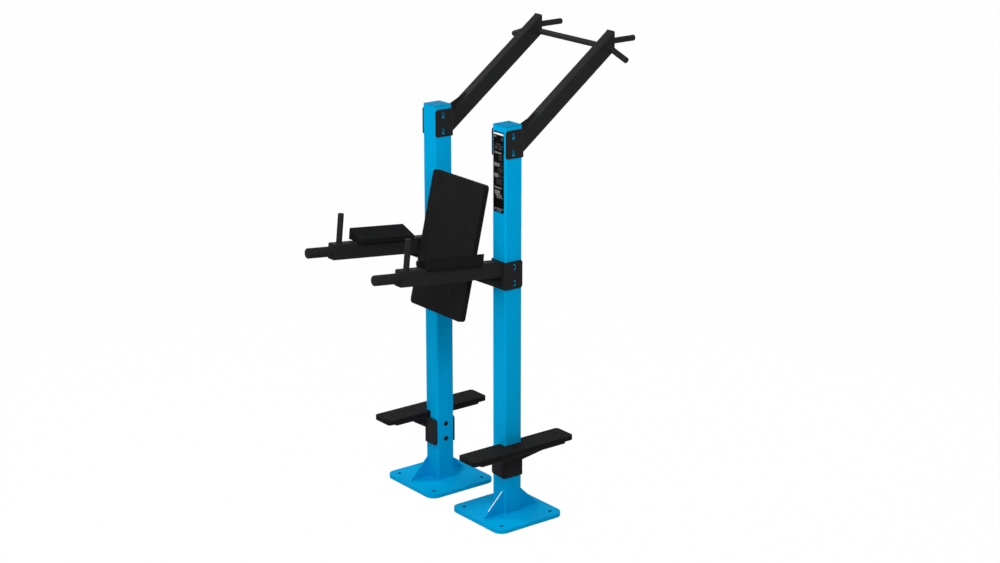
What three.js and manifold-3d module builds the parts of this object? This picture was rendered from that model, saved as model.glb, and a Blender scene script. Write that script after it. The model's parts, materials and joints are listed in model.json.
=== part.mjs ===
// Outdoor station for dips, knee raises, pull-ups and step-ups, in millimetres.
// +Z is up, X runs from post to post, and the dip handles point to -Y, the front.
// The origin is on the floor, midway between the two posts.
import * as THREE from 'three';
import { mergeVertices } from 'three/addons/utils/BufferGeometryUtils.js';
import Module from 'manifold-3d';

const wasm = await Module();
wasm.setup();

const gap = 0.3;
const radians = THREE.MathUtils.degToRad;

// Posts, their caps and their bases
const postSpacing = 553;
const postWidth = 100;
const postCorner = 8;
const postWall = 4;
const postTop = 1960;
const capThickness = 4;
const baseSize = 400;
const baseThickness = 20;
const baseCorner = 48;
const anchorSpacing = 300;
const anchorHoleRadius = 9;
const ribOffset = 29;
const ribThickness = 6;
const ribHeight = 118;
const ribToe = 4;
const ribClip = 12;

// Folded brackets round the posts, and what holds them
const bracketPlate = 6;
const bracketHeight = 136;
const bracketBend = 9;
const bracketCorner = 12;
const slotWidth = 18;
const slotLength = 34;
const fixingSpacing = 80;
const fixingRadius = 6;
const boltHeadRadius = 13;
const boltHeadHeight = 3;
const socketRadius = 4;
const socketDepth = 5;

// Rectangular tube of the arms
const armWidth = 60;
const armHeight = 78;
const armWall = 4;
const armCorner = 8;
const endPlate = 3;
const gussetThickness = 6;
const gussetToe = 4;
const gripRadius = 14.5;
const gripChamfer = 1.5;

// Pull-up side, behind the posts
const pullUpBracketBottom = 1804;
const pullUpBracketReach = 49;
const pullUpSlotCentre = -3;
const pullUpSlope = Math.atan(0.75);
const pullUpRootHeight = 1852.7;
const pullUpArmEnd = 626.5;
const pullUpGussetTop = 1941;
const pullUpGussetReach = 172;
const barFromPosts = 593;
const barHeight = 2253;
const sideGripDroop = radians(19);
const sideGripTip = 156;
const rearGripHeight = 2276;
const reach = 772;

// Dip side, in front of the posts
const dipBracketBottom = 1168;
const dipBracketReach = 48;
const dipSlotCentre = 2.5;
const dipSlope = radians(6);
const dipRootHeight = 1264.8;
const dipArmLength = 578.6;
const dipGussetBottom = 1168;
const dipGussetReach = 200;
const handleRadius = 25;
const handleChamfer = 2;
const verticalGripPlace = 538;
const verticalGripLength = 144.5;
const padWidth = 104;
const padLength = 320;
const padCentre = 288.5;
const padOuterHeight = 55.5;
const padInnerHeight = 21;
const padChamfer = 5;
const padHoleSpacing = 200;
const padHoleRadius = 5;

// Backrest between the dip arms, leaning back
const backrestFront = -152.5;
const backrestHeight = 1336.1;
const backrestLean = radians(13);
const boardWidth = 410;
const boardHeight = 666;
const boardThickness = 28.5;
const boardCorner = 18;
const boardHoleRadius = 5;
const uprightSpacing = 234;
const boardHoleSpacing = 341;
const boardHoleCentre = -52.5;
const uprightWidth = 40;
const uprightDepth = 25;
const uprightWall = 2.5;
const uprightLength = 430;
const crossbarSize = 40;
const crossbarWall = 3;
const crossbarRise = -62.7;

// Steps outside the posts
const stepBracketBottom = 209;
const stepBracketReach = 50;
const stepBracketBend = 20;
const stepFlapFace = 61.5;
const stepInner = 9;
const stepOuter = 139;
const stepLength = 612;
const stepTop = 379;
const stepCorner = 18;
const stepNotch = 52;
const stepHoleRadius = 5;
const stepHolesAcross = [24, 122];
const stepHoleReach = 238;
const supportInner = 13;
const supportOuter = 136;
const supportLength = 518;
const supportThickness = 10;
const supportCorner = 8;
const stepGussetTurn = radians(55.5);
const stepGussetBottom = 283.6;
const stepGussetReach = 142;

// Information panel on the right post's front face
const panelWidth = 77;
const panelHeight = 389;
const panelThickness = 2;
const panelCorner = 4;
const panelBottom = 1541;

const postFace = postWidth / 2;
const bracketInside = postFace + gap;
const bracketFace = bracketInside + bracketPlate;
const armRoot = bracketFace + gap;

const sides = [
  { name: 'left', sign: -1 },
  { name: 'right', sign: 1 },
];

function paint(colour, roughness, metalness) {
  return new THREE.MeshStandardMaterial({ color: colour, roughness, metalness, flatShading: true });
}

const blueCoat = paint(0x0099d6, 0.45, 0.1);
const blackCoat = paint(0x232323, 0.55, 0.1);
const darkSteel = paint(0x1d1d1d, 0.4, 0.8);
const handleRubber = paint(0x202020, 0.8, 0);
const boardPlastic = paint(0x242424, 0.65, 0);
const padPlastic = paint(0x222222, 0.75, 0);
const panelFilm = paint(0x101010, 0.35, 0);

function solidOf(geometry) {
  const bare = geometry.clone();
  bare.deleteAttribute('normal');
  bare.deleteAttribute('uv');
  const merged = mergeVertices(bare, 1e-4);
  return new wasm.Manifold(new wasm.Mesh({
    numProp: 3,
    vertProperties: new Float32Array(merged.attributes.position.array),
    triVerts: new Uint32Array(merged.index.array),
  }));
}

function geometryOf(solid) {
  const { vertProperties, triVerts } = solid.getMesh();
  const geometry = new THREE.BufferGeometry();
  geometry.setAttribute('position', new THREE.BufferAttribute(vertProperties, 3));
  geometry.setIndex(new THREE.BufferAttribute(triVerts, 1));
  return geometry;
}

function cut(geometry, ...tools) {
  return geometryOf(tools.reduce((solid, tool) => solid.subtract(solidOf(tool)), solidOf(geometry)));
}

function join(geometry, ...others) {
  return geometryOf(others.reduce((solid, other) => solid.add(solidOf(other)), solidOf(geometry)));
}

function common(geometry, limits) {
  return geometryOf(solidOf(geometry).intersect(solidOf(limits)));
}

function piece(name, geometry, material, x = 0, y = 0, z = 0) {
  const mesh = new THREE.Mesh(geometry, material);
  mesh.name = name;
  mesh.position.set(x, y, z);
  return mesh;
}

// A shape drawn on the floor, given a thickness upwards from z = 0.
function flatPlate(shape, thickness, curveSegments = 2) {
  return new THREE.ExtrudeGeometry(shape, { depth: thickness, bevelEnabled: false, curveSegments });
}

// A shape drawn in (x, z), given a thickness along Y, centred on y = 0.
function facingPlate(shape, thickness, curveSegments) {
  return flatPlate(shape, thickness, curveSegments).rotateX(Math.PI / 2).translate(0, thickness / 2, 0);
}

// A shape drawn in (y, z), given a thickness along X, centred on x = 0.
const alongX = new THREE.Matrix4().makeBasis(
  new THREE.Vector3(0, 1, 0),
  new THREE.Vector3(0, 0, 1),
  new THREE.Vector3(1, 0, 0),
);

function sidePlate(shape, thickness, curveSegments) {
  return flatPlate(shape, thickness, curveSegments).translate(0, 0, -thickness / 2).applyMatrix4(alongX);
}

function polygon(corners) {
  return new THREE.Shape(corners.map(([x, y]) => new THREE.Vector2(x, y)));
}

function roundedRectangle(width, height, radius) {
  const x = width / 2 - radius;
  const y = height / 2 - radius;
  const shape = new THREE.Shape();
  shape.absarc(x, y, radius, 0, Math.PI / 2);
  shape.absarc(-x, y, radius, Math.PI / 2, Math.PI);
  shape.absarc(-x, -y, radius, Math.PI, 1.5 * Math.PI);
  shape.absarc(x, -y, radius, 1.5 * Math.PI, 2 * Math.PI);
  return shape;
}

function circle(x, y, radius) {
  const shape = new THREE.Shape();
  shape.absarc(x, y, radius, 0, Math.PI);
  shape.absarc(x, y, radius, Math.PI, 2 * Math.PI);
  return shape;
}

function tubeSection(width, height, wall, radius) {
  const shape = roundedRectangle(width, height, radius);
  shape.holes.push(roundedRectangle(width - 2 * wall, height - 2 * wall, radius - wall));
  return shape;
}

// A block between two values of y, wide and high enough to trim an arm with.
function slab(yLow, yHigh) {
  const size = 4 * postTop;
  return new THREE.BoxGeometry(size, yHigh - yLow, size).translate(0, (yLow + yHigh) / 2, 0);
}

// A round bar from y = 0 to y = length, with chamfered ends.
function roundBar(radius, length, chamfer, segments) {
  const profile = [
    [0, 0], [radius - chamfer, 0], [radius, chamfer],
    [radius, length - chamfer], [radius - chamfer, length], [0, length],
  ];
  return new THREE.LatheGeometry(profile.map(([x, y]) => new THREE.Vector2(x, y)), segments);
}

// A cylinder along X, centred on the origin.
function crossHole(radius, length) {
  return new THREE.CylinderGeometry(radius, radius, length, 16).rotateZ(Math.PI / 2);
}

function socket(atY) {
  return new THREE.CylinderGeometry(socketRadius, socketRadius, 2 * socketDepth, 6).translate(0, atY, 0);
}

// Heights of the two fixings of a bracket whose lower edge is at the given height.
function fixingHeights(bracketBottom) {
  const centre = bracketBottom + bracketHeight / 2;
  return [
    { name: 'lower', z: centre - fixingSpacing / 2 },
    { name: 'upper', z: centre + fixingSpacing / 2 },
  ];
}

function post() {
  const bottom = baseThickness + gap;
  const length = postTop - capThickness - gap - bottom;
  const tube = flatPlate(tubeSection(postWidth, postWidth, postWall, postCorner), length);
  tube.translate(0, 0, bottom);
  const heights = [...fixingHeights(dipBracketBottom), ...fixingHeights(stepBracketBottom)];
  const holes = heights.map(({ z }) => crossHole(fixingRadius + gap, 2 * postWidth).translate(0, 0, z));
  return cut(tube, ...holes);
}

function basePlate() {
  const shape = roundedRectangle(baseSize, baseSize, baseCorner);
  for (const x of [-1, 1]) {
    for (const y of [-1, 1]) {
      shape.holes.push(circle(x * anchorSpacing / 2, y * anchorSpacing / 2, anchorHoleRadius));
    }
  }
  return flatPlate(shape, baseThickness, 5);
}

// A rib from the post's face down to the base plate, its inner corner clipped clear of the weld.
function baseRib(front) {
  const foot = baseThickness + gap;
  const root = postFace + gap;
  const tip = root + ribHeight - ribToe;
  const corners = [
    [root + ribClip, foot], [tip, foot], [tip, foot + ribToe],
    [root, foot + ribHeight], [root, foot + ribClip],
  ];
  const sign = front ? -1 : 1;
  return sidePlate(polygon(corners.map(([y, z]) => [sign * y, z])), ribThickness);
}

// A plate folded into a U round a post: its web is on the +Y side and its flaps end at y = -flapReach.
function foldedBracket(flapReach, flapFace = bracketFace, bend = bracketBend) {
  const x = flapFace - bend;
  const y = bracketFace - bend;
  const flapInside = flapFace - bracketPlate;
  const innerBend = bend - bracketPlate;
  const shape = new THREE.Shape();
  shape.moveTo(flapFace, -flapReach);
  shape.absarc(x, y, bend, 0, Math.PI / 2);
  shape.absarc(-x, y, bend, Math.PI / 2, Math.PI);
  shape.lineTo(-flapFace, -flapReach);
  shape.lineTo(-flapInside, -flapReach);
  shape.absarc(-x, y, innerBend, Math.PI, Math.PI / 2, true);
  shape.absarc(x, y, innerBend, Math.PI / 2, 0, true);
  shape.lineTo(flapInside, -flapReach);
  return common(flatPlate(shape, bracketHeight, 4), flapOutline(flapReach));
}

// The bracket's outline seen from the side, with the free corners of its flaps rounded.
function flapOutline(flapReach) {
  const shape = new THREE.Shape();
  shape.moveTo(2 * bracketFace, 0);
  shape.lineTo(2 * bracketFace, bracketHeight);
  shape.absarc(bracketCorner - flapReach, bracketHeight - bracketCorner, bracketCorner, Math.PI / 2, Math.PI);
  shape.absarc(bracketCorner - flapReach, bracketCorner, bracketCorner, Math.PI, 1.5 * Math.PI);
  return sidePlate(shape, 4 * bracketFace);
}

// Upright slots through both flaps, at the fixings' heights above the bracket's lower edge.
function flapSlots(y) {
  const shape = new THREE.Shape();
  const straight = (slotLength - slotWidth) / 2;
  shape.absarc(y, straight, slotWidth / 2, 0, Math.PI);
  shape.absarc(y, -straight, slotWidth / 2, Math.PI, 2 * Math.PI);
  return fixingHeights(0).map(({ z }) => sidePlate(shape, 4 * bracketFace, 4).translate(0, 0, z));
}

function pullUpBracket() {
  return cut(foldedBracket(pullUpBracketReach), ...flapSlots(pullUpSlotCentre));
}

function dipBracket() {
  return cut(foldedBracket(dipBracketReach).rotateZ(Math.PI), ...flapSlots(dipSlotCentre));
}

// The step's bracket is folded wider than the post, with a larger bend.
function stepBracket(sign) {
  const hole = crossHole(fixingRadius + gap, postWidth);
  const holes = fixingHeights(0).map(({ z }) => hole.clone().translate(sign * postWidth, 0, z));
  const bracket = foldedBracket(stepBracketReach, stepFlapFace, stepBracketBend);
  return cut(bracket.rotateZ(-sign * Math.PI / 2), ...holes);
}

// A stud through the post, with a hexagon socket in each end.
function bracketPin() {
  const length = 2 * bracketFace;
  const stud = roundBar(fixingRadius, length, 1, 16);
  return cut(stud, socket(0), socket(length)).rotateZ(-Math.PI / 2).translate(-bracketFace, 0, 0);
}

// A socket-head bolt from the post's inner face to the bracket's web.
function stepBolt(sign) {
  const length = boltHeadHeight + gap + postWidth + gap + bracketPlate;
  const profile = [
    [0, 0], [boltHeadRadius - 1.5, 0], [boltHeadRadius, 1.5], [boltHeadRadius, boltHeadHeight],
    [fixingRadius, boltHeadHeight], [fixingRadius, length], [0, length],
  ];
  const bolt = new THREE.LatheGeometry(profile.map(([x, y]) => new THREE.Vector2(x, y)), 20);
  const start = postFace + gap + boltHeadHeight;
  return cut(bolt, socket(0)).rotateZ(-sign * Math.PI / 2).translate(-sign * start, 0, 0);
}

// A rectangular tube between two values of y, centred on the Y axis.
function armTube(yLow, yHigh) {
  const tube = flatPlate(tubeSection(armWidth, armHeight, armWall, armCorner), yHigh - yLow);
  return tube.rotateX(Math.PI / 2).translate(0, yHigh, 0);
}

function pullUpAxisHeight(y) {
  return pullUpRootHeight + (y - armRoot) * Math.tan(pullUpSlope);
}

// The arm rises to the rear, and both its ends are cut plumb.
function pullUpArm() {
  const tube = armTube(-armHeight, 1.5 * pullUpArmEnd);
  tube.rotateX(pullUpSlope).translate(0, armRoot, pullUpRootHeight);
  return common(tube, slab(armRoot, pullUpArmEnd - endPlate - gap));
}

function pullUpArmEndPlate() {
  const height = armHeight / Math.cos(pullUpSlope);
  const y = pullUpArmEnd - endPlate / 2;
  return facingPlate(roundedRectangle(armWidth, height, armCorner), endPlate)
    .translate(0, y, pullUpAxisHeight(pullUpArmEnd));
}

function pullUpGusset() {
  const lift = (armHeight / 2 + gap) / Math.cos(pullUpSlope);
  const tip = pullUpAxisHeight(pullUpGussetReach) + lift;
  return sidePlate(polygon([
    [armRoot, pullUpAxisHeight(armRoot) + lift], [pullUpGussetReach, tip],
    [pullUpGussetReach, tip + gussetToe], [armRoot, pullUpGussetTop],
  ]), gussetThickness);
}

// The grip starts on the arm's outer side and droops away from it.
function sideGrip(sign) {
  const armFace = armWidth / 2 + gap;
  const length = sideGripTip / Math.cos(sideGripDroop);
  const bar = roundBar(gripRadius, length, gripChamfer, 24);
  bar.rotateZ(-sign * Math.PI / 2).rotateY(sign * sideGripDroop);
  bar.translate(0, 0, armFace * Math.tan(sideGripDroop));
  const outside = new THREE.BoxGeometry(sideGripTip * 2, postWidth, postWidth * 2);
  outside.translate(sign * (armFace + sideGripTip), 0, 0);
  return common(bar, outside).translate(0, barFromPosts, barHeight);
}

function rearGrip() {
  return roundBar(gripRadius, reach - pullUpArmEnd - gap, gripChamfer, 24)
    .translate(0, pullUpArmEnd + gap, rearGripHeight);
}

function pullUpBar() {
  const length = postSpacing - armWidth - 2 * gap;
  return roundBar(gripRadius, length, gap, 24).rotateZ(-Math.PI / 2)
    .translate(-length / 2, barFromPosts, barHeight);
}

// The dip arm's own frame: y = 0 is the bracket's face on the arm's axis, and the arm runs to -Y.
// Its root is cut plumb and its front end square.
function dipArm() {
  const tube = armTube(-(dipArmLength - endPlate - gap), armHeight);
  return common(tube, slab(-2 * dipArmLength, 0).rotateX(dipSlope));
}

function dipArmEndPlate() {
  return facingPlate(roundedRectangle(armWidth, armHeight, armCorner), endPlate)
    .translate(0, endPlate / 2 - dipArmLength, 0);
}

// The handle ends where its lower edge reaches as far forward as the rear grips reach back.
function dipHandle() {
  const tipLag = (handleRadius - handleChamfer) * Math.sin(dipSlope);
  const tip = (reach - armRoot - tipLag) / Math.cos(dipSlope);
  const length = tip - dipArmLength - gap;
  return roundBar(handleRadius, length, handleChamfer, 32).translate(0, -tip, 0);
}

function verticalGrip() {
  return roundBar(gripRadius, verticalGripLength, gripChamfer, 24)
    .rotateX(Math.PI / 2).translate(0, -verticalGripPlace, armHeight / 2 + gap);
}

// A wedge along the arm, higher on its outboard side, with two screw holes on its centre line.
function forearmPad(sign) {
  const half = padWidth / 2;
  const shape = polygon([
    [-sign * half, 0], [sign * half, 0], [sign * half, padOuterHeight], [-sign * half, padInnerHeight],
  ]);
  const wedge = new THREE.ExtrudeGeometry(shape, {
    depth: padLength - 2 * padChamfer,
    bevelThickness: padChamfer,
    bevelSize: padChamfer,
    bevelOffset: -padChamfer,
    bevelSegments: 2,
  });
  wedge.rotateX(Math.PI / 2).translate(0, padLength / 2 - padChamfer, 0);
  const hole = new THREE.CylinderGeometry(padHoleRadius, padHoleRadius, 4 * padOuterHeight, 16);
  hole.rotateX(Math.PI / 2);
  const holes = [-1, 1].map((end) => hole.clone().translate(0, end * padHoleSpacing / 2, 0));
  return cut(wedge, ...holes).translate(0, -padCentre, armHeight / 2 + gap);
}

function dipGusset() {
  const underside = (y) => dipRootHeight + (y - armRoot) * Math.tan(dipSlope)
    - (armHeight / 2 + gap) / Math.cos(dipSlope);
  const tip = underside(dipGussetReach);
  return sidePlate(polygon([
    [-armRoot, underside(armRoot)], [-dipGussetReach, tip],
    [-dipGussetReach, tip - gussetToe], [-armRoot, dipGussetBottom],
  ]), gussetThickness);
}

// Plan of a step board or its support on the +X side: a notch takes the outer half of the post.
function notchedOutline(inner, outer, length, corner) {
  const x = [inner + corner, outer - corner];
  const y = length / 2 - corner;
  const shape = new THREE.Shape();
  shape.absarc(x[1], y, corner, 0, Math.PI / 2);
  shape.absarc(x[0], y, corner, Math.PI / 2, Math.PI);
  shape.lineTo(inner, stepNotch);
  shape.lineTo(stepNotch, stepNotch);
  shape.lineTo(stepNotch, -stepNotch);
  shape.lineTo(inner, -stepNotch);
  shape.absarc(x[0], -y, corner, Math.PI, 1.5 * Math.PI);
  shape.absarc(x[1], -y, corner, 1.5 * Math.PI, 2 * Math.PI);
  return shape;
}

const supportBottom = stepBracketBottom + bracketHeight + gap;
const stepBottom = supportBottom + supportThickness + gap;

function stepBoard() {
  const shape = notchedOutline(stepInner, stepOuter, stepLength, stepCorner);
  for (const x of stepHolesAcross) {
    for (const end of [-1, 1]) {
      shape.holes.push(circle(x, end * stepHoleReach, stepHoleRadius));
    }
  }
  return flatPlate(shape, stepTop - stepBottom, 4).translate(0, 0, stepBottom);
}

// The plate under a step board, with a gusset from each bend of the bracket, square to the bend.
function stepSupport() {
  const plan = notchedOutline(supportInner, supportOuter, supportLength, supportCorner);
  const plate = flatPlate(plan, supportThickness).translate(0, 0, supportBottom);
  const weldedTop = supportBottom + 1;
  const root = stepBracketBend + gap;
  const outline = polygon([
    [root, stepGussetBottom], [stepGussetReach, supportBottom - gussetToe],
    [stepGussetReach, weldedTop], [root, weldedTop],
  ]);
  const gussets = [-1, 1].map((end) => facingPlate(outline, gussetThickness)
    .rotateZ(end * stepGussetTurn)
    .translate(bracketFace - stepBracketBend, end * (stepFlapFace - stepBracketBend), 0));
  return join(plate, ...gussets);
}

function infoPanel() {
  return facingPlate(roundedRectangle(panelWidth, panelHeight, panelCorner), panelThickness)
    .translate(0, -(postFace + gap + panelThickness / 2), panelBottom + panelHeight / 2);
}

function dipArmGroup({ name, sign }) {
  const arm = new THREE.Group();
  arm.position.set(0, -armRoot, dipRootHeight);
  arm.rotation.x = -dipSlope;
  arm.add(
    piece(`${name}_dip_arm`, dipArm(), blackCoat),
    piece(`${name}_dip_arm_end_plate`, dipArmEndPlate(), blackCoat),
    piece(`${name}_dip_handle`, dipHandle(), handleRubber),
    piece(`${name}_vertical_grip`, verticalGrip(), blackCoat),
    piece(`${name}_forearm_pad`, forearmPad(sign), padPlastic),
  );
  return arm;
}

// Everything carried by one post. The steps are drawn for the +X side and turned round for the other.
function postGroup({ name, sign }) {
  const group = new THREE.Group();
  group.position.x = sign * postSpacing / 2;
  group.add(
    piece(`${name}_post`, post(), blueCoat),
    piece(`${name}_post_cap`, flatPlate(roundedRectangle(postWidth, postWidth, postCorner), capThickness),
      blueCoat, 0, 0, postTop - capThickness),
    piece(`${name}_base_plate`, basePlate(), blueCoat),
    piece(`${name}_front_base_rib`, baseRib(true), blueCoat, sign * ribOffset),
    piece(`${name}_rear_base_rib`, baseRib(false), blueCoat, sign * ribOffset),
    piece(`${name}_pull_up_bracket`, pullUpBracket(), blackCoat, 0, 0, pullUpBracketBottom),
    piece(`${name}_pull_up_arm`, pullUpArm(), blackCoat),
    piece(`${name}_pull_up_arm_end_plate`, pullUpArmEndPlate(), blackCoat),
    piece(`${name}_pull_up_gusset`, pullUpGusset(), blackCoat),
    piece(`${name}_side_grip`, sideGrip(sign), blackCoat),
    piece(`${name}_rear_grip`, rearGrip(), blackCoat),
    piece(`${name}_dip_bracket`, dipBracket(), blackCoat, 0, 0, dipBracketBottom),
    piece(`${name}_dip_gusset`, dipGusset(), blackCoat),
    piece(`${name}_step_bracket`, stepBracket(sign), blackCoat, 0, 0, stepBracketBottom),
    dipArmGroup({ name, sign }),
  );
  for (const { name: level, z } of fixingHeights(dipBracketBottom)) {
    group.add(piece(`${name}_dip_bracket_${level}_pin`, bracketPin(), darkSteel, 0, 0, z));
  }
  for (const { name: level, z } of fixingHeights(stepBracketBottom)) {
    group.add(piece(`${name}_step_${level}_bolt`, stepBolt(sign), darkSteel, 0, 0, z));
  }
  const step = new THREE.Group();
  step.rotation.z = sign > 0 ? 0 : Math.PI;
  step.add(
    piece(`${name}_step_board`, stepBoard(), boardPlastic),
    piece(`${name}_step_support`, stepSupport(), blackCoat),
  );
  group.add(step);
  return group;
}

// The backrest's own frame: the board's front face is at y = 0, and +Z runs up along the board.
function backrestBoard() {
  const shape = roundedRectangle(boardWidth, boardHeight, boardCorner);
  for (const across of [-1, 1]) {
    for (const end of [-1, 1]) {
      const rise = boardHoleCentre + end * boardHoleSpacing / 2;
      shape.holes.push(circle(across * uprightSpacing / 2, rise, boardHoleRadius));
    }
  }
  return facingPlate(shape, boardThickness, 4).translate(0, boardThickness / 2, 0);
}

function backrestUpright() {
  const section = tubeSection(uprightWidth, uprightDepth, uprightWall, 2 * uprightWall);
  return flatPlate(section, uprightLength).translate(0, 0, boardHoleCentre - uprightLength / 2);
}

function backrestCrossbar() {
  const length = postSpacing - armWidth - 2 * gap;
  return flatPlate(tubeSection(crossbarSize, crossbarSize, crossbarWall, 2 * crossbarWall), length)
    .rotateY(Math.PI / 2).translate(-length / 2, 0, 0);
}

function backrestGroup() {
  const group = new THREE.Group();
  group.position.set(0, backrestFront, backrestHeight);
  group.rotation.x = -backrestLean;
  const uprightPlace = boardThickness + gap + uprightDepth / 2;
  const crossbarPlace = boardThickness + gap + uprightDepth + gap + crossbarSize / 2;
  group.add(
    piece('backrest_board', backrestBoard(), boardPlastic),
    piece('backrest_crossbar', backrestCrossbar(), blackCoat, 0, crossbarPlace, crossbarRise),
  );
  for (const { name, sign } of sides) {
    group.add(piece(`${name}_backrest_upright`, backrestUpright(), blackCoat,
      sign * uprightSpacing / 2, uprightPlace));
  }
  return group;
}

const station = new THREE.Group();
station.name = 'dip_station';
for (const side of sides) {
  station.add(postGroup(side));
}
station.add(
  piece('pull_up_bar', pullUpBar(), blackCoat),
  backrestGroup(),
  piece('info_panel', infoPanel(), panelFilm, postSpacing / 2),
);

export default station;
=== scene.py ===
"""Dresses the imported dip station: turned bars, screws, weld beads, print, materials, light and camera.

Lengths are in millimetres until a mesh is made. +Z is up and the dip handles point to -Y, the front.
"""

import json
import math
import random

import bpy
from mathutils import Matrix, Vector

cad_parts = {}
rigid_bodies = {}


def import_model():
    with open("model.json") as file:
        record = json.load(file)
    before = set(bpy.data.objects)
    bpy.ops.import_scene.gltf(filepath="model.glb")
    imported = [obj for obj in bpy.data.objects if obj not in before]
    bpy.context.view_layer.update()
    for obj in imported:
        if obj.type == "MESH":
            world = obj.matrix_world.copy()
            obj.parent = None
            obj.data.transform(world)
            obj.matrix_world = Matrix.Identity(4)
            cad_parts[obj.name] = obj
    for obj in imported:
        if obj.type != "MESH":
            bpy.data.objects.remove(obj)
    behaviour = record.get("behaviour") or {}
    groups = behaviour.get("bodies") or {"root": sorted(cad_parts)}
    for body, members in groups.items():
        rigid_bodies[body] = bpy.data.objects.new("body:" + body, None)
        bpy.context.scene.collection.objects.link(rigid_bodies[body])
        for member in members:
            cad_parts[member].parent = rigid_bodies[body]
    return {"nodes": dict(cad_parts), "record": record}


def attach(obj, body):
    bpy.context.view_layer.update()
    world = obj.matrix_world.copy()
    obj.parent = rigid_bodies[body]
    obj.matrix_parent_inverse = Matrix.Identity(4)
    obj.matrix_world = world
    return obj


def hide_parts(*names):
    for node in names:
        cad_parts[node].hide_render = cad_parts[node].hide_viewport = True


POST_X = 276.5
POST_HALF = 50
BRACKET_FACE = 56.3
ARM_ROOT = 56.6
ARM_WIDTH = 60
ARM_HEIGHT = 78
ARM_CORNER = 8
GRIP_RADIUS = 14.5
GUSSET_HALF = 3
REACH = 772

PLATE_TOP = 20
RIB_OFFSET = 29
RIB_TIP = 164.3
RIB_HEIGHT = 118
RIB_TOE = 4
RIB_CLIP = 12

PULL_UP_SLOPE = 0.75
PULL_UP_ROOT_HEIGHT = 1852.7
PULL_UP_ARM_END = 626.5
PULL_UP_GUSSET_TOP = 1941
PULL_UP_GUSSET_REACH = 172
BAR_Y = 593
BAR_HEIGHT = 2253
REAR_GRIP_HEIGHT = 2276
SIDE_GRIP_DROOP = math.radians(19)
SIDE_GRIP_TIP = 156

DIP_SLOPE = math.radians(6)
DIP_ROOT_HEIGHT = 1264.8
DIP_ARM_LENGTH = 578.6
DIP_GUSSET_BOTTOM = 1168
DIP_GUSSET_REACH = 200
HANDLE_RADIUS = 25
VERTICAL_GRIP_PLACE = 538
VERTICAL_GRIP_LENGTH = 144.5
PAD_CENTRE = 288.5
PAD_SCREW_SPACING = 200
PAD_MIDDLE_HEIGHT = 38.25

BACKREST_FRONT = -152.5
BACKREST_HEIGHT = 1336.1
BACKREST_LEAN = math.radians(13)
BOARD_THICKNESS = 28.5
UPRIGHT_X = 117
UPRIGHT_WIDTH = 40
UPRIGHT_DEPTH = 25
UPRIGHT_LENGTH = 430
BOARD_SCREW_SPACING = 341
BOARD_SCREW_CENTRE = -52.5
CROSSBAR_SIZE = 40
CROSSBAR_RISE = -62.7

STEP_TOP = 379
STEP_SCREWS_X = (24, 122)
STEP_SCREW_Y = 238
SUPPORT_BOTTOM = 345.3
STEP_FLAP_FACE = 61.5
STEP_BEND = 20
STEP_GUSSET_TURN = math.radians(55.5)
STEP_GUSSET_BOTTOM = 283.6
STEP_GUSSET_REACH = 142

SCREW_RADIUS = 4.9
SCREW_HEIGHT = 4
SCREW_SOCKET = 2.4
BOARD_SCREW_DEPTH = 2.5
PAD_SCREW_DEPTH = 6

SLOT_WIDTH = 18
SLOT_LENGTH = 34
FIXING_SPACING = 80
PULL_UP_BRACKET_MIDDLE = 1872
PULL_UP_SLOT_CENTRE = -3
DIP_BRACKET_MIDDLE = 1236
DIP_SLOT_CENTRE = 2.5
ANCHOR_SPACING = 300
ANCHOR_RADIUS = 9
HOLE_DEPTH = 1.6

BAR_ROUNDING = 3
HANDLE_ROUNDING = 5
WELD_GAP = 0.4
RING_BEAD = 1.3
GUSSET_BEAD = 2.2
CROSSBAR_BEAD = 3

PANEL_LEFT = 238
PANEL_TOP = 1930
PANEL_FACE = -52.3

# Modifiers of the solids
MERGE_DISTANCE = 0.00001
FLAT_ANGLE = math.radians(1)
EDGE_ANGLE = math.radians(32)
EDGE_STEPS = 3
FACE_WEIGHT = 90

# Colours are linear
BLUE = (0.0, 0.371, 0.723)
# Painted shade seen through the slots of the brackets
SHADED_BLUE = (0.008, 0.09, 0.16)
# Painted highlight along the sloping edge of one rib
HIGHLIGHT_BLUE = (0.80, 0.93, 0.98)
BLACK = (0.0162, 0.0164, 0.0166)
HOLE_SHADE_BLACK = (0.001, 0.001, 0.001)
STEEL_TONES = ((0.004, 0.004, 0.004), (0.009, 0.009, 0.009))
FILM_BLACK = (0.003, 0.003, 0.003)
WHITE_INK = (0.80, 0.80, 0.80)
LIGHT_INK = (0.17, 0.165, 0.16)
DIM_INK = (0.045, 0.045, 0.045)
BLUE_GLOSS = 0.01
BLACK_GLOSS = 0.035
FILM_GLOSS = 0.012

CAMERA_PLACE = (8.2235, -6.1956, 4.3167)
CAMERA_AZIMUTH = math.radians(52.255)
CAMERA_ELEVATION = math.radians(17.234)
CAMERA_LENS = 79.74
CAMERA_SENSOR = 36
CAMERA_RANGE = 200

AMBIENT = 0.14
FLOOR_SPAN = 60
FLOOR_LEVEL = -0.0002
FLOOR_GLOW = 0.99
# Square lamps in metres and watts: name, place, target, side, power
LAMPS = (
    ("front", (0.3, -4.0, 3.4), (0, 0, 1.1), 2.0, 91),
    ("left", (-2.8, -0.6, 3.2), (0, 0, 1.1), 1.5, 60),
    ("right", (2.8, -1.2, 3.6), (0, 0, 1.1), 1.5, 88),
    ("back", (0.2, 3.2, 2.3), (0, 0, 0.6), 1.5, 32),
)

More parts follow.
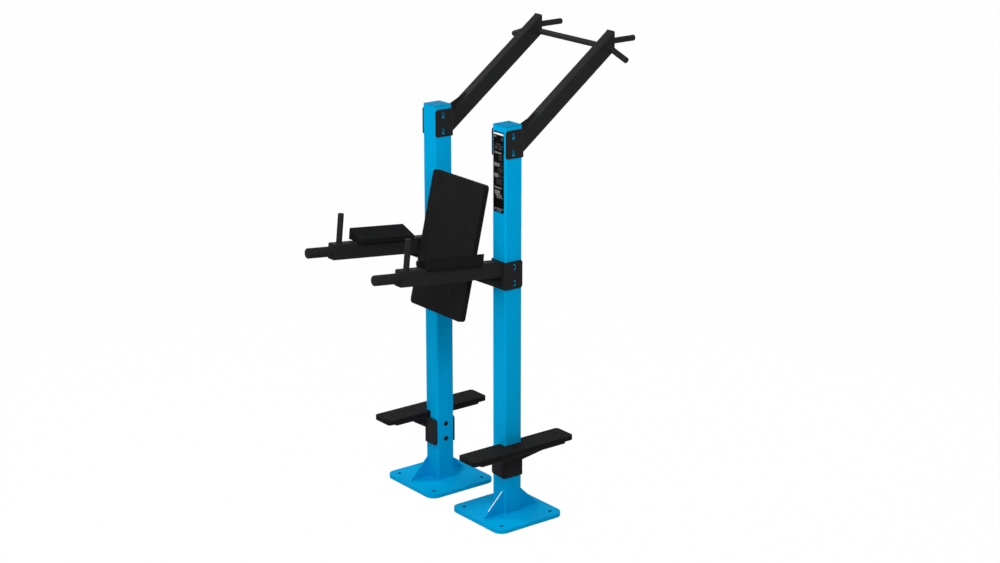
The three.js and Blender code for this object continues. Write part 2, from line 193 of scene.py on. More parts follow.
# Printed blocks of the panel, from its top left corner: left, right, top, bottom
WHITE_PRINT = [(2, 75, 6, 15)]
LIGHT_PRINT = [
    (5, 22, 21, 27), (7, 61, 97, 105), (5, 46, 150, 167), (5, 38, 201, 220),
    (7, 61, 265, 273), (10, 50, 282, 300), (18, 62, 302, 310), (24, 69, 313, 319),
    (5, 72, 368, 372), (5, 66, 375, 378), (24, 58, 381.5, 385),
]
DIM_PRINT = [(20, 55, 56, 63), (10, 30, 67, 85), (38, 71, 67, 73), (38, 66, 77, 85), (56, 73, 24, 41)]
DIM_LINES = [
    (39, 72, 111, 136), (50, 72, 150, 166), (34, 72, 174, 195), (44, 72, 203, 218), (23, 70, 227, 250),
]
LINE_HEIGHT = 2.2

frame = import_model()
nodes = frame["nodes"]
dice = random.Random(7)


def clear_defaults():
    for found in list(bpy.data.objects):
        if found.name in ("Cube", "Light", "Camera"):
            bpy.data.objects.remove(found)
    bpy.context.view_layer.update()


clear_defaults()
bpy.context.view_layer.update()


# Meshes


def circle(radius, height, segments=48):
    turns = [2 * math.pi * i / segments for i in range(segments)]
    return [Vector((radius * math.cos(a), radius * math.sin(a), height)) for a in turns]


def hexagon(radius, height, segments=24):
    """Points on a hexagon's sides, as many as a circle of that many segments has."""
    points = []
    for i in range(segments):
        turn = 2 * math.pi * i / segments
        off_middle = (turn + math.pi / 6) % (math.pi / 3) - math.pi / 6
        reach = radius * math.cos(math.pi / 6) / math.cos(math.pi / 6 - abs(off_middle))
        points.append(Vector((reach * math.cos(turn), reach * math.sin(turn), height)))
    return points


def rounded_rectangle(width, height, radius, level=0.0, steps=4):
    points = []
    for quarter, (sx, sy) in enumerate(((1, 1), (-1, 1), (-1, -1), (1, -1))):
        centre = Vector((sx * (width / 2 - radius), sy * (height / 2 - radius), level))
        for i in range(steps + 1):
            turn = math.pi / 2 * (quarter + i / steps)
            points.append(centre + radius * Vector((math.cos(turn), math.sin(turn), 0)))
    return points


def loft(rings, looped=False):
    """Points and faces of a skin over rings of equal length, closed at its ends or in a loop."""
    count = len(rings[0])
    points = [point for ring in rings for point in ring]
    faces = []
    for r in range(len(rings) if looped else len(rings) - 1):
        low, high = r * count, (r + 1) % len(rings) * count
        for i in range(count):
            j = (i + 1) % count
            faces.append((low + i, low + j, high + j, high + i))
    if not looped:
        faces.append(tuple(reversed(range(count))))
        faces.append(tuple(range(len(points) - count, len(points))))
    return points, faces


def merged(parts):
    """One list of points and faces from several."""
    points, faces = [], []
    for some_points, some_faces in parts:
        start = len(points)
        points += some_points
        faces += [tuple(start + i for i in face) for face in some_faces]
    return points, faces


def placed(shape, matrix):
    points, faces = shape
    return [matrix @ point for point in points], faces


def piece(name, shape, material, replaced=()):
    """A shown mesh that rides on the frame, in the place of the named nodes if there are any."""
    points, faces = shape
    mesh = bpy.data.meshes.new(name)
    mesh.from_pydata([point * 0.001 for point in points], [], faces)
    mesh.shade_smooth()
    mesh.set_sharp_from_angle(angle=math.radians(35))
    mesh.materials.append(material)
    made = bpy.data.objects.new(name, mesh)
    bpy.context.scene.collection.objects.link(made)
    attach(made, "root")
    if replaced:
        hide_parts(*replaced)
    return made


def round_bar(radius, length, rounding):
    """A bar up from z = 0 with its far end rounded over."""
    rings = [circle(radius, 0)]
    for i in range(5):
        turn = math.pi / 2 * i / 4
        inset = rounding * (1 - math.cos(turn))
        rings.append(circle(radius - inset, length - rounding * (1 - math.sin(turn))))
    return loft(rings)


def along(start, direction):
    """The matrix that takes +Z to a direction and the origin to a point."""
    turn = Vector(direction).to_track_quat("Z", "Y").to_matrix().to_4x4()
    return Matrix.Translation(start) @ turn


def socket_screw(radius, height, socket):
    """A screw head with its top at z = 0 and a hexagon socket in it."""
    edge = 0.12 * radius
    return loft([
        circle(radius, -height, 24), circle(radius, -2 * edge, 24),
        circle(radius - 0.3 * edge, -0.8 * edge, 24), circle(radius - edge, -0.1 * edge, 24),
        circle(radius - 2 * edge, 0, 24),
        hexagon(socket + 0.3, 0), hexagon(socket, -0.3), hexagon(socket, -0.7 * height),
    ])


def screw_head():
    return socket_screw(SCREW_RADIUS, SCREW_HEIGHT, SCREW_SOCKET)


def weld_bead(corners, radius=2.6, closed=True):
    """A rippled bead along a line through the given corners."""
    legs = list(zip(corners, corners[1:] + corners[:1]))
    if not closed:
        legs.pop()
    line = []
    for a, b in legs:
        steps = max(1, round((b - a).length / 2.5))
        line += [a.lerp(b, i / steps) for i in range(steps)]
    if not closed:
        line.append(corners[-1])
    rings = []
    for i, point in enumerate(line):
        before = line[i - 1] if closed or i else point
        after = line[(i + 1) % len(line)] if closed or i + 1 < len(line) else point
        direction = (after - before).normalized()
        side = direction.orthogonal().normalized()
        if abs(direction.z) < 0.9:
            side = direction.cross(Vector((0, 0, 1))).normalized()
        up = side.cross(direction)
        swell = radius * (1 + 0.1 * (-1) ** i + dice.uniform(-0.05, 0.05))
        turns = [2 * math.pi * k / 8 for k in range(8)]
        rings.append([point + swell * (math.cos(a) * side + math.sin(a) * up) for a in turns])
    return loft(rings, looped=closed)


# Materials


class Surface:
    """A material whose node tree is built step by step from the object's own coordinates."""

    def __init__(self, name, roughness, specular, metallic=0.0):
        self.material = bpy.data.materials.new(name)
        self.material.use_nodes = True
        self.tree = self.material.node_tree
        self.shader = self.tree.nodes["Principled BSDF"]
        self.shader.inputs["Roughness"].default_value = roughness
        self.shader.inputs["Specular IOR Level"].default_value = specular
        self.shader.inputs["Metallic"].default_value = metallic
        self.place = self.tree.nodes.new("ShaderNodeTexCoord").outputs["Object"]

    def join(self, source, target):
        self.tree.links.new(source, target)

    def stretched(self, scale):
        mapping = self.tree.nodes.new("ShaderNodeMapping")
        mapping.inputs["Scale"].default_value = scale
        self.join(self.place, mapping.inputs["Vector"])
        return mapping.outputs["Vector"]

    def noise(self, scale, detail=3.0, place=None):
        node = self.tree.nodes.new("ShaderNodeTexNoise")
        node.inputs["Scale"].default_value = scale
        node.inputs["Detail"].default_value = detail
        self.join(place or self.place, node.inputs["Vector"])
        return node.outputs["Fac"]

    def cells(self, scale):
        node = self.tree.nodes.new("ShaderNodeTexVoronoi")
        node.inputs["Scale"].default_value = scale
        self.join(self.place, node.inputs["Vector"])
        return node.outputs["Distance"]

    def range(self, source, low, high):
        node = self.tree.nodes.new("ShaderNodeMapRange")
        node.inputs["From Min"].default_value = 0.3
        node.inputs["From Max"].default_value = 0.7
        node.inputs["To Min"].default_value = low
        node.inputs["To Max"].default_value = high
        self.join(source, node.inputs["Value"])
        return node.outputs["Result"]

    def blend(self, share, first, second):
        """A colour between two, each a tuple or another node's output."""
        node = self.tree.nodes.new("ShaderNodeMix")
        node.data_type = "RGBA"
        self.join(share, node.inputs["Factor"])
        for name, value in (("A", first), ("B", second)):
            socket = next(s for s in node.inputs if s.name == name and s.type == "RGBA")
            if isinstance(value, tuple):
                socket.default_value = (*value, 1)
            else:
                self.join(value, socket)
        return next(s for s in node.outputs if s.type == "RGBA")

    def colour(self, source):
        self.join(source, self.shader.inputs["Base Color"])

    def roughness(self, source, low, high):
        self.join(self.range(source, low, high), self.shader.inputs["Roughness"])

    def bump(self, *layers):
        """Height layers as (source, strength, depth in metres), each laid over the one before."""
        normal = None
        for source, strength, depth in layers:
            node = self.tree.nodes.new("ShaderNodeBump")
            node.inputs["Strength"].default_value = strength
            node.inputs["Distance"].default_value = depth
            self.join(source, node.inputs["Height"])
            if normal:
                self.join(normal, node.inputs["Normal"])
            normal = node.outputs["Normal"]
        self.join(normal, self.shader.inputs["Normal"])


def scaled(colour, share):
    return tuple(channel * share for channel in colour)


def powder_coat(name, colour, roughness, specular, grain):
    """Sprayed and baked coat: fine orange peel, a slow drift of tone and small darker specks."""
    made = Surface(name, roughness, specular)
    made.shader.inputs["Specular Tint"].default_value = (*scaled(colour, 1 / max(colour)), 1)
    drift = made.range(made.noise(3.5), 0.0, 1.0)
    fine = made.noise(900, 2.0)
    toned = made.blend(drift, scaled(colour, 0.96), scaled(colour, 1.03))
    made.colour(made.blend(made.range(fine, 0.0, 0.16), toned, scaled(colour, 0.72)))
    made.roughness(made.noise(40), roughness - 0.06, roughness + 0.06)
    made.bump((fine, grain, 0.0004), (made.noise(260, 1.0), grain * 0.7, 0.0006))
    return made.material


def solid_board(name, colour, roughness, specular):
    """Thick coloured plastic sheet: pebbled grain, long pressed streaks and scuffed patches."""
    made = Surface(name, roughness, specular)
    streaks = made.noise(60, 3.0, made.stretched((1.0, 0.12, 0.12)))
    toned = made.blend(made.range(streaks, 0.0, 1.0), scaled(colour, 0.9), scaled(colour, 1.08))
    made.colour(made.blend(made.range(made.noise(14, 5.0), 0.0, 0.2), toned, scaled(colour, 1.5)))
    made.roughness(made.noise(30), roughness - 0.08, roughness + 0.06)
    made.bump((made.cells(420), 0.35, 0.0005), (streaks, 0.08, 0.0004))
    return made.material


def moulded(name, colour, roughness, specular, cell_scale):
    """Moulded rubber or plastic: close-set grain with a slow change of tone."""
    made = Surface(name, roughness, specular)
    grain = made.cells(cell_scale)
    toned = made.blend(made.range(made.noise(9), 0.0, 1.0), scaled(colour, 0.92), scaled(colour, 1.08))
    made.colour(made.blend(made.range(grain, 0.0, 0.25), toned, scaled(colour, 0.6)))
    made.roughness(made.noise(45), roughness - 0.05, roughness + 0.08)
    made.bump((grain, 0.3, 0.0004))
    return made.material


def plated_steel(name):
    made = Surface(name, 0.42, 0.4, metallic=0.8)
    turned = made.noise(500, 2.0, made.stretched((0.2, 1.0, 1.0)))
    made.colour(made.blend(made.range(turned, 0.0, 1.0), *STEEL_TONES))
    made.roughness(made.noise(90), 0.34, 0.52)
    made.bump((turned, 0.15, 0.0002))
    return made.material


def film(name, colour, roughness):
    """Printed foil with a faint unevenness."""
    made = Surface(name, roughness, FILM_GLOSS)
    patches = made.noise(120, 4.0)
    made.colour(made.blend(made.range(patches, 0.0, 1.0), scaled(colour, 0.9), scaled(colour, 1.1)))
    made.roughness(patches, roughness - 0.05, roughness + 0.05)
    made.bump((made.noise(700, 1.0), 0.05, 0.0002))
    return made.material


blue_coat = powder_coat("blue_coat", BLUE, 0.45, BLUE_GLOSS, 0.10)
# Painted shade: the post caps get the blue darkened to 0.7, for the duller light on their tops
cap_shade_coat = powder_coat("cap_shade_coat", scaled(BLUE, 0.7), 0.45, BLUE_GLOSS, 0.10)
black_coat = powder_coat("black_coat", BLACK, 0.55, BLACK_GLOSS, 0.22)
board_plastic = solid_board("board_plastic", scaled(BLACK, 0.6), 0.62, 0.015)
pad_plastic = moulded("pad_plastic", scaled(BLACK, 0.66), 0.7, 0.012, 520)
handle_rubber = moulded("handle_rubber", BLACK, 0.62, 0.03, 650)
dark_steel = plated_steel("dark_steel")
shaded_coat = powder_coat("shaded_coat", SHADED_BLUE, 0.45, BLUE_GLOSS, 0.10)
highlight_coat = powder_coat("highlight_coat", HIGHLIGHT_BLUE, 0.35, 0.03, 0.10)
# Painted shade in the anchor holes; it only borrows the grain of the moulded material
hole_shade = moulded("hole_shade", HOLE_SHADE_BLACK, 0.9, 0.0, 300)
panel_film = film("panel_film", FILM_BLACK, 0.35)
white_ink = film("white_ink", WHITE_INK, 0.4)
light_ink = film("light_ink", LIGHT_INK, 0.4)
dim_ink = film("dim_ink", DIM_INK, 0.4)

BY_SLOT = {
    "blue_coat": blue_coat,
    "black_coat": black_coat,
    "dark_steel": dark_steel,
    "handle_rubber": handle_rubber,
    "board_plastic": board_plastic,
    "pad_plastic": pad_plastic,
    "panel_film": panel_film,
}

# Width of the rounded edges of the solids, by the end of their names
EDGE_WIDTHS = {
    "board": 2.5, "forearm_pad": 2.5, "base_plate": 1.5, "post": 0.8, "post_cap": 1.6, "arm": 1.2,
    "bracket": 0.9, "pin": 0.4, "bolt": 0.4, "info_panel": 0.3,
}
USUAL_EDGE_WIDTH = 0.8


def edge_width(name):
    fitting = [end for end in EDGE_WIDTHS if name.endswith(end)]
    return EDGE_WIDTHS[max(fitting, key=len)] if fitting else USUAL_EDGE_WIDTH


def smoothing_nodes():
    """Joins the loose faces of a solid and shades them smooth."""
    tree = bpy.data.node_groups.new("smoothing", "GeometryNodeTree")
    tree.interface.new_socket("Geometry", in_out="INPUT", socket_type="NodeSocketGeometry")
    tree.interface.new_socket("Geometry", in_out="OUTPUT", socket_type="NodeSocketGeometry")
    start = tree.nodes.new("NodeGroupInput")
    join = tree.nodes.new("GeometryNodeMergeByDistance")
    join.inputs["Distance"].default_value = MERGE_DISTANCE
    bare = tree.nodes.new("GeometryNodeRemoveAttribute")
    bare.inputs["Name"].default_value = "custom_normal"
    shade = tree.nodes.new("GeometryNodeSetShadeSmooth")
    end = tree.nodes.new("NodeGroupOutput")
    for first, second in ((start, join), (join, bare), (bare, shade), (shade, end)):
        tree.links.new(first.outputs["Geometry"], second.inputs["Geometry"])
    return tree


def finish_solids():
    """Gives every solid its material and softly rounded edges.

    The long faces of the posts keep their triangles, since one large face with holes in it would overlap
    itself once its edges are rounded.
    """
    smoothing = smoothing_nodes()
    slots = {row["node"]: row["material_slot"] for row in frame["record"]["subparts"]}
    for name, solid in nodes.items():
        # The caps take the darker blue of painted shade
        solid.material_slots[0].material = cap_shade_coat if name.endswith("post_cap") else BY_SLOT[slots[name]]
        solid.modifiers.new("smoothing", "NODES").node_group = smoothing
        if not name.endswith("_post"):
            plain = solid.modifiers.new("flats", "DECIMATE")
            plain.decimate_type = "DISSOLVE"
            plain.angle_limit = FLAT_ANGLE
        edges = solid.modifiers.new("edges", "BEVEL")
        edges.width = edge_width(name) * 0.001
        edges.segments = EDGE_STEPS
        edges.limit_method = "ANGLE"
        edges.angle_limit = EDGE_ANGLE
        shading = solid.modifiers.new("shading", "WEIGHTED_NORMAL")
        shading.weight = FACE_WEIGHT


# Pieces


def dip_place(x):
    """The dip arm's own frame: its axis is the Y axis and its root is at the origin."""
    return Matrix.Translation((x, -ARM_ROOT, DIP_ROOT_HEIGHT)) @ Matrix.Rotation(-DIP_SLOPE, 4, "X")


def backrest_place():
    """The board's own frame: its front face is at y = 0."""
    lean = Matrix.Rotation(-BACKREST_LEAN, 4, "X")
    return Matrix.Translation((0, BACKREST_FRONT, BACKREST_HEIGHT)) @ lean


def pull_up_axis(y):
    """Height of a pull-up arm's axis at a distance behind the posts."""
    return PULL_UP_ROOT_HEIGHT + (y - ARM_ROOT) * PULL_UP_SLOPE


def bars(side, sign):
    """The round grips and the handle of one side."""
    x = sign * POST_X
    droop = Vector((sign * math.cos(SIDE_GRIP_DROOP), 0, -math.sin(SIDE_GRIP_DROOP)))
    inside = BAR_ROUNDING
    start = Vector((x + sign * ARM_WIDTH / 2, BAR_Y, BAR_HEIGHT)) - inside * droop
    length = (SIDE_GRIP_TIP - ARM_WIDTH / 2) / math.cos(SIDE_GRIP_DROOP) + inside
    grip = placed(round_bar(GRIP_RADIUS, length, BAR_ROUNDING), along(start, droop))
    piece(f"{side}_side_grip_bar", grip, black_coat, [f"{side}_side_grip"])

    start = Vector((x, PULL_UP_ARM_END, REAR_GRIP_HEIGHT))
    bar = round_bar(GRIP_RADIUS, REACH - PULL_UP_ARM_END, BAR_ROUNDING)
    grip = placed(bar, along(start, (0, 1, 0)))
    piece(f"{side}_rear_grip_bar", grip, black_coat, [f"{side}_rear_grip"])

    foot = dip_place(x) @ Matrix.Translation((0, -VERTICAL_GRIP_PLACE, ARM_HEIGHT / 2))
    grip = placed(round_bar(GRIP_RADIUS, VERTICAL_GRIP_LENGTH, BAR_ROUNDING), foot)
    piece(f"{side}_vertical_grip_bar", grip, black_coat, [f"{side}_vertical_grip"])

    lag = (HANDLE_RADIUS - 2) * math.sin(DIP_SLOPE)
    length = (REACH - ARM_ROOT - lag) / math.cos(DIP_SLOPE) - DIP_ARM_LENGTH
    root = dip_place(x) @ along((0, -DIP_ARM_LENGTH, 0), (0, -1, 0))
    handle = placed(round_bar(HANDLE_RADIUS, length, HANDLE_ROUNDING), root)
    piece(f"{side}_handle_sleeve", handle, handle_rubber, [f"{side}_dip_handle"])


def pull_up_bar():
    half = POST_X - ARM_WIDTH / 2
    place = along(Vector((-half, BAR_Y, BAR_HEIGHT)), (1, 0, 0))
    bar = placed(loft([circle(GRIP_RADIUS, 0), circle(GRIP_RADIUS, 2 * half)]), place)
    piece("pull_up_bar_tube", bar, black_coat, ["pull_up_bar"])


def screws(side, sign):
    """Screws sunk into the pad and the step board of one side."""
    arm = dip_place(sign * POST_X)
    top = ARM_HEIGHT / 2 + PAD_MIDDLE_HEIGHT - PAD_SCREW_DEPTH
    heads = []
    for end in (-1, 1):
        spot = arm @ Matrix.Translation((0, -PAD_CENTRE + end * PAD_SCREW_SPACING / 2, top))
        heads.append(placed(screw_head(), spot))
    piece(f"{side}_pad_screws", merged(heads), dark_steel)
    heads = []
    for across in STEP_SCREWS_X:
        for end in (-1, 1):
            spot = (sign * (POST_X + across), end * STEP_SCREW_Y, STEP_TOP - BOARD_SCREW_DEPTH)
            heads.append(placed(screw_head(), Matrix.Translation(spot)))
    piece(f"{side}_step_screws", merged(heads), dark_steel)


def side_patches(sign, y, heights, width, height):
    """Thin upright patches on both side faces of one post."""
    rings = [rounded_rectangle(width, height, 2, level, steps=2) for level in (0, 0.2)]
    patches = []
    for face in (-1, 1):
        turn = Matrix(((0, 0, face, 0), (face, 0, 0, 0), (0, 1, 0, 0), (0, 0, 0, 1)))
        for z in heights:
            spot = Vector((sign * POST_X + face * (POST_HALF + 0.02), y, z))
            patches.append(placed(loft(rings), Matrix.Translation(spot) @ turn))
    return merged(patches)


def slot_shades(side, sign):
    """Painted shade: dim blue on the post behind the upper part of the pull-up slots and black behind the
    front part of the dip slots.
    """
    lift = 4
    heights = [PULL_UP_BRACKET_MIDDLE + end * FIXING_SPACING / 2 + lift for end in (-1, 1)]
    shades = side_patches(sign, PULL_UP_SLOT_CENTRE, heights, SLOT_WIDTH + 2, SLOT_LENGTH - 6)
    piece(f"{side}_pull_up_slot_shades", shades, shaded_coat)
    heights = [DIP_BRACKET_MIDDLE + end * FIXING_SPACING / 2 for end in (-1, 1)]
    shades = side_patches(sign, DIP_SLOT_CENTRE - 6, heights, SLOT_WIDTH / 2, SLOT_LENGTH)
    piece(f"{side}_dip_slot_shades", shades, black_coat)


def anchor_holes(side, sign):
    """Painted shade: dark discs just below the top of the four anchor holes of one base plate."""
    disc = loft([circle(ANCHOR_RADIUS - 0.1, level, 24) for level in (0, 1)])
    discs = []
    for dx in (-1, 1):
        for dy in (-1, 1):
            x = sign * POST_X + dx * ANCHOR_SPACING / 2
            spot = Vector((x, dy * ANCHOR_SPACING / 2, PLATE_TOP - HOLE_DEPTH))
            discs.append(placed(disc, Matrix.Translation(spot)))
    piece(f"{side}_anchor_hole_shades", merged(discs), hole_shade)


def backrest_details():
    """Screws in the board's face and plugs in the ends of its uprights."""
    place = backrest_place()
    heads, caps = [], []
    for across in (-1, 1):
        for end in (-1, 1):
            rise = BOARD_SCREW_CENTRE + end * BOARD_SCREW_SPACING / 2
            spot = place @ along((across * UPRIGHT_X, BOARD_SCREW_DEPTH, rise), (0, -1, 0))
            heads.append(placed(screw_head(), spot))
            rise = BOARD_SCREW_CENTRE + end * UPRIGHT_LENGTH / 2
            middle = (across * UPRIGHT_X, BOARD_THICKNESS + 0.3 + UPRIGHT_DEPTH / 2, rise)
            flip = Matrix.Identity(4) if end > 0 else Matrix.Rotation(math.pi, 4, "X")
            cap = loft([
                rounded_rectangle(UPRIGHT_WIDTH - 6, UPRIGHT_DEPTH - 6, 2, -10),
                rounded_rectangle(UPRIGHT_WIDTH - 6, UPRIGHT_DEPTH - 6, 2, 0),
                rounded_rectangle(UPRIGHT_WIDTH - 0.6, UPRIGHT_DEPTH - 0.6, 4, 0),
                rounded_rectangle(UPRIGHT_WIDTH - 1, UPRIGHT_DEPTH - 1, 4, 2),
                rounded_rectangle(UPRIGHT_WIDTH - 4, UPRIGHT_DEPTH - 4, 3, 3),
            ])
            caps.append(placed(cap, place @ Matrix.Translation(middle) @ flip))
    piece("backrest_screws", merged(heads), dark_steel)
    piece("upright_caps", merged(caps), pad_plastic)


def ring_weld(radius, matrix):
    """A bead round a bar."""
    return placed(weld_bead(circle(radius, 0, 36), radius=RING_BEAD), matrix)


def frame_weld(width, height, corner, matrix):
    """A bead round a square or rectangular tube."""
    return placed(weld_bead(rounded_rectangle(width, height, corner, steps=3)), matrix)


def line_welds(x, points):
    """Beads along both faces of a thin plate that stands across X at the given place."""
    lines = []
    for side in (-1, 1):
        corners = [Vector((x + side * (GUSSET_HALF + WELD_GAP), y, z)) for y, z in points]
        lines.append(weld_bead(corners, radius=GUSSET_BEAD, closed=False))
    return lines


def base_welds(side, sign):
    """Beads round the post's foot and along its two ribs."""
    x = sign * POST_X
    foot = frame_weld(2 * POST_HALF + 1, 2 * POST_HALF + 1, 8.5, Matrix.Translation((x, 0, PLATE_TOP + 0.5)))
    beads = [foot]
    rib = x + sign * RIB_OFFSET
    for end in (-1, 1):
        level = PLATE_TOP + WELD_GAP
        beads += line_welds(rib, [(end * (POST_HALF + RIB_CLIP), level), (end * (RIB_TIP - 2), level)])
        root = end * (POST_HALF + WELD_GAP)
        beads += line_welds(rib, [(root, PLATE_TOP + RIB_CLIP), (root, PLATE_TOP + RIB_HEIGHT - 3)])
    piece(f"{side}_base_welds", merged(beads), blue_coat)


def painted_rib_highlight():
    """A painted highlight: a bright line along the sloping edge of the right front rib."""
    gap = 0.3
    low = Vector((0, -RIB_TIP, PLATE_TOP + RIB_TOE + gap))
    high = Vector((0, -POST_HALF - gap, PLATE_TOP + RIB_HEIGHT + gap))
    middle = low.lerp(high, 0.6) + Vector((POST_X + RIB_OFFSET, 0, 0))
    length = 0.75 * (high - low).length
    rings = [rounded_rectangle(5.4, length, 1, level, steps=2) for level in (0.02, 0.3)]
    strip = placed(loft(rings), Matrix.Translation(middle) @ Matrix.Rotation(math.pi / 4, 4, "X"))
    piece("right_front_rib_painted_highlight", strip, highlight_coat)


def pull_up_welds(side, sign):
    """Beads round the pull-up arm's root, along its gusset and round its bars."""
    x = sign * POST_X
    slant = math.sqrt(1 + PULL_UP_SLOPE ** 2)
    web = along((x, ARM_ROOT, PULL_UP_ROOT_HEIGHT), (0, 1, 0))
    beads = [frame_weld(ARM_WIDTH + 1, ARM_HEIGHT * slant + 1, ARM_CORNER, web)]
    lift = (ARM_HEIGHT / 2 + WELD_GAP) * slant
    root = pull_up_axis(ARM_ROOT) + lift
    tip = pull_up_axis(PULL_UP_GUSSET_REACH) + lift
    beads += line_welds(x, [(ARM_ROOT + 2, root), (PULL_UP_GUSSET_REACH, tip)])
    face = BRACKET_FACE + WELD_GAP
    beads += line_welds(x, [(face, root + 4), (face, PULL_UP_GUSSET_TOP - 2)])
    for end in (-1, 1):
        spot = Vector((x + end * (ARM_WIDTH / 2 + WELD_GAP), BAR_Y, BAR_HEIGHT))
        beads.append(ring_weld(GRIP_RADIUS + 0.6, along(spot, (end, 0, 0))))
    spot = Vector((x, PULL_UP_ARM_END + WELD_GAP, REAR_GRIP_HEIGHT))
    beads.append(ring_weld(GRIP_RADIUS + 0.4, along(spot, (0, 1, 0))))
    piece(f"{side}_pull_up_welds", merged(beads), black_coat)


def dip_welds(side, sign):
    """Beads round the dip arm's root, along its gusset and round its handle and grip."""
    x = sign * POST_X
    web = along((x, -ARM_ROOT, DIP_ROOT_HEIGHT), (0, 1, 0))
    beads = [frame_weld(ARM_WIDTH + 1, ARM_HEIGHT / math.cos(DIP_SLOPE) + 1, ARM_CORNER, web)]
    drop = (ARM_HEIGHT / 2 + WELD_GAP) / math.cos(DIP_SLOPE)
    rise = (DIP_GUSSET_REACH - ARM_ROOT) * math.tan(DIP_SLOPE)
    below = DIP_ROOT_HEIGHT - drop
    beads += line_welds(x, [(-ARM_ROOT - 2, below), (-DIP_GUSSET_REACH, below + rise)])
    face = -BRACKET_FACE - WELD_GAP
    beads += line_welds(x, [(face, below - 4), (face, DIP_GUSSET_BOTTOM + 2)])
    arm = dip_place(x)
    beads.append(ring_weld(HANDLE_RADIUS + 0.5, arm @ along((0, -DIP_ARM_LENGTH - WELD_GAP, 0), (0, -1, 0))))
    foot = Matrix.Translation((0, -VERTICAL_GRIP_PLACE, ARM_HEIGHT / 2 + WELD_GAP))
    beads.append(ring_weld(GRIP_RADIUS + 0.5, arm @ foot))
    piece(f"{side}_dip_arm_welds", merged(beads), black_coat)


def step_welds(side, sign):
    """Beads of the two gussets under one step, down the bracket's bends and along the plate."""
    top = SUPPORT_BOTTOM - WELD_GAP
    root = STEP_BEND + WELD_GAP
    beads = []
    for end in (-1, 1):
        bend = Vector((sign * (POST_X + BRACKET_FACE - STEP_BEND), end * (STEP_FLAP_FACE - STEP_BEND), 0))
        out = Vector((sign * math.cos(STEP_GUSSET_TURN), end * math.sin(STEP_GUSSET_TURN), 0))
        for face in (-1, 1):
            aside = face * (GUSSET_HALF + WELD_GAP) * Vector((-out.y, out.x, 0))
            line = [(root, STEP_GUSSET_BOTTOM + 2), (root, top), (STEP_GUSSET_REACH, top)]
            corners = [bend + aside + reach * out + Vector((0, 0, level)) for reach, level in line]
            beads.append(weld_bead(corners, radius=GUSSET_BEAD, closed=False))
    piece(f"{side}_step_welds", merged(beads), black_coat)


def backrest_welds():
    """Beads at the crossbar's ends and where it meets the uprights."""
    place = backrest_place()
    middle = BOARD_THICKNESS + 0.6 + UPRIGHT_DEPTH + CROSSBAR_SIZE / 2
    half = POST_X - ARM_WIDTH / 2 - WELD_GAP
    beads = []
    for sign in (-1, 1):
        end = place @ along((sign * half, middle, CROSSBAR_RISE), (sign, 0, 0))
        beads.append(frame_weld(CROSSBAR_SIZE + 1, CROSSBAR_SIZE + 1, 6, end))
        for edge in (-1, 1):
            rise = CROSSBAR_RISE + edge * (CROSSBAR_SIZE / 2 - 3)
            y = BOARD_THICKNESS + WELD_GAP + UPRIGHT_DEPTH
            corners = [Vector((sign * UPRIGHT_X + dx, y, rise)) for dx in (-17, 17)]
            beads.append(placed(weld_bead(corners, radius=CROSSBAR_BEAD, closed=False), place))
    piece("backrest_welds", merged(beads), black_coat)


def print_block(left, right, top, bottom):
    """A flat printed block of the panel, a hair in front of it."""
    width, height = right - left, bottom - top
    corner = min(0.8, width / 4, height / 4)
    x = PANEL_LEFT + (left + right) / 2
    z = PANEL_TOP - (top + bottom) / 2
    rings = [rounded_rectangle(width, height, corner, level, steps=2) for level in (-0.1, 0.1)]
    return placed(loft(rings), along((x, PANEL_FACE, z), (0, -1, 0)))


def panel_print():
    """Generic blocks and broken lines in three tones of ink."""
    lines = []
    for left, right, top, bottom in DIM_LINES:
        level = top
        while level < bottom:
            lines.append((left, right - dice.choice((0, 2, 5, 11)), level, level + LINE_HEIGHT))
            level += 2 * LINE_HEIGHT
    prints = (
        ("white", WHITE_PRINT, white_ink),
        ("light", LIGHT_PRINT, light_ink),
        ("dim", DIM_PRINT + lines, dim_ink),
    )
    for name, blocks, ink in prints:
        piece(f"panel_{name}_print", merged([print_block(*block) for block in blocks]), ink)


# Stage


def floor():
    """A plain white ground that keeps a faint shadow of the object."""
    corners = ((-1, -1), (1, -1), (1, 1), (-1, 1))
    points = [(dx * FLOOR_SPAN, dy * FLOOR_SPAN, FLOOR_LEVEL) for dx, dy in corners]
    mesh = bpy.data.meshes.new("floor")
    mesh.from_pydata(points, [], [(0, 1, 2, 3)])
    ground = bpy.data.objects.new("floor", mesh)
    bpy.context.scene.collection.objects.link(ground)
    material = bpy.data.materials.new("floor")
    material.use_nodes = True
    tree = material.node_tree
    shader = tree.nodes["Principled BSDF"]
    shader.inputs["Base Color"].default_value = (0.8, 0.8, 0.8, 1)
    shader.inputs["Roughness"].default_value = 0.9
    shader.inputs["Specular IOR Level"].default_value = 0.0
    glow = tree.nodes.new("ShaderNodeEmission")
    mix = tree.nodes.new("ShaderNodeMixShader")
    share = tree.nodes.new("ShaderNodeMath")
    share.operation = "MULTIPLY"
    share.inputs[1].default_value = FLOOR_GLOW
    tree.links.new(seen_directly(tree), share.inputs[0])
    tree.links.new(share.outputs[0], mix.inputs["Fac"])
    tree.links.new(shader.outputs["BSDF"], mix.inputs[1])
    tree.links.new(glow.outputs["Emission"], mix.inputs[2])
    tree.links.new(mix.outputs["Shader"], tree.nodes["Material Output"].inputs["Surface"])
    mesh.materials.append(material)


def seen_directly(tree):
    """1 for what the camera, a reflection or glass shows, and 0 for light on the object."""
    path = tree.nodes.new("ShaderNodeLightPath")
    total = path.outputs["Is Camera Ray"]
    for name in ("Is Glossy Ray", "Is Transmission Ray"):
        most = tree.nodes.new("ShaderNodeMath")
        most.operation = "MAXIMUM"
        tree.links.new(total, most.inputs[0])
        tree.links.new(path.outputs[name], most.inputs[1])
        total = most.outputs[0]
    return total


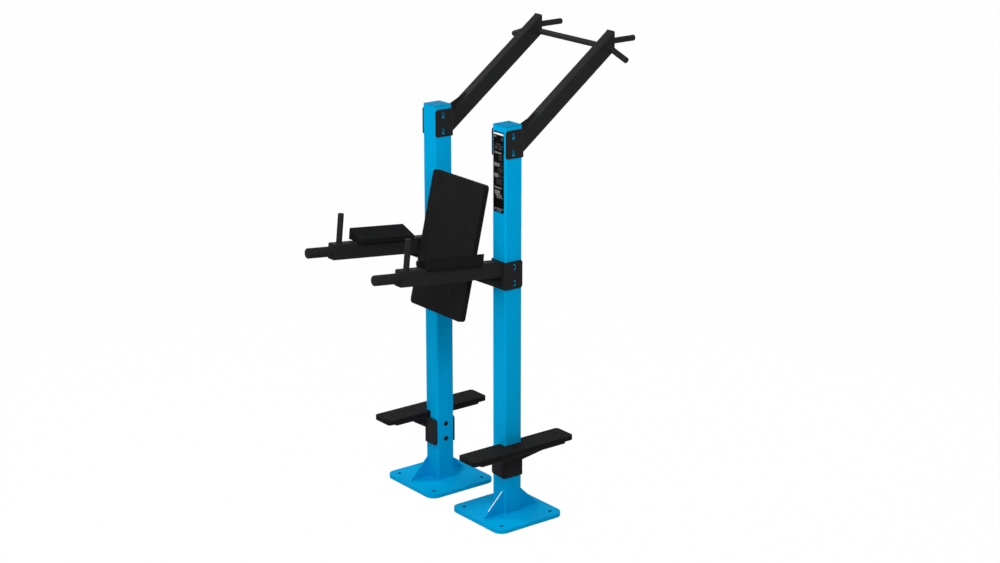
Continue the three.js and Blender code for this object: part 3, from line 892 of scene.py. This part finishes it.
def world():
    """White where it is seen, and a faint even light on the object."""
    made = bpy.data.worlds.new("studio")
    made.use_nodes = True
    tree = made.node_tree
    strength = tree.nodes.new("ShaderNodeMapRange")
    strength.inputs["To Min"].default_value = AMBIENT
    strength.inputs["To Max"].default_value = 1.0
    tree.links.new(seen_directly(tree), strength.inputs["Value"])
    ground = tree.nodes["Background"]
    ground.inputs["Color"].default_value = (1, 1, 1, 1)
    tree.links.new(strength.outputs["Result"], ground.inputs["Strength"])
    bpy.context.scene.world = made


def lamp(name, place, target, size, power):
    """A square lamp turned to a target."""
    data = bpy.data.lights.new(name, "AREA")
    data.shape = "SQUARE"
    data.size = size
    data.energy = power
    made = bpy.data.objects.new(name, data)
    made.location = place
    made.rotation_mode = "QUATERNION"
    made.rotation_quaternion = (Vector(target) - Vector(place)).to_track_quat("-Z", "Y")
    bpy.context.scene.collection.objects.link(made)


def camera():
    """The camera at the photograph's place, level across and aimed by its azimuth and elevation."""
    data = bpy.data.cameras.new("camera")
    data.sensor_fit = "HORIZONTAL"
    data.sensor_width = CAMERA_SENSOR
    data.lens = CAMERA_LENS
    data.clip_end = CAMERA_RANGE
    made = bpy.data.objects.new("camera", data)
    made.location = CAMERA_PLACE
    flat = math.cos(CAMERA_ELEVATION)
    back = Vector((
        math.sin(CAMERA_AZIMUTH) * flat, -math.cos(CAMERA_AZIMUTH) * flat, math.sin(CAMERA_ELEVATION),
    ))
    made.rotation_mode = "QUATERNION"
    made.rotation_quaternion = (-back).to_track_quat("-Z", "Y")
    bpy.context.scene.collection.objects.link(made)
    bpy.context.scene.camera = made


finish_solids()
for side_name, side_sign in (("left", -1), ("right", 1)):
    bars(side_name, side_sign)
    screws(side_name, side_sign)
    slot_shades(side_name, side_sign)
    anchor_holes(side_name, side_sign)
    base_welds(side_name, side_sign)
    pull_up_welds(side_name, side_sign)
    dip_welds(side_name, side_sign)
    step_welds(side_name, side_sign)
pull_up_bar()
painted_rib_highlight()
backrest_details()
backrest_welds()
panel_print()

floor()
world()
for settings in LAMPS:
    lamp(*settings)
camera()
bpy.context.scene.view_settings.view_transform = "Standard"

bpy.context.view_layer.update()
